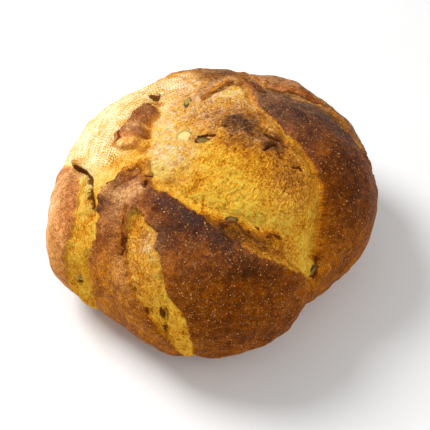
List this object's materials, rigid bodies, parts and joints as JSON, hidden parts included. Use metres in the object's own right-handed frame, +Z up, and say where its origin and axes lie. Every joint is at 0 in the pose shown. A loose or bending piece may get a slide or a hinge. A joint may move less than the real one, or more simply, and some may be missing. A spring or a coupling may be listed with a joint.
{
  "type": "pumpkin bread",
  "caption": "Round pumpkin bread loaf with a dark, burst crust over golden crumb, and pumpkin seeds baked in; stands on its flat base.",
  "frame": {"origin": "centre of the loaf's outline, on the surface it stands on", "axes": "+Z up through the crown; the side with the two long bursts faces -Y; +X to its right"},
  "size_m": [0.2189, 0.2207, 0.1186],
  "materials": {
    "crust": "dark baked skin with pale blisters, slightly satin",
    "crumb": "torn golden crumb, dull and fibrous",
    "seed": "toasted pumpkin seed, smooth and dull"
  },
  "bodies": {
    "root": {"loaf": "crust"}
  },
  "joints": []
}
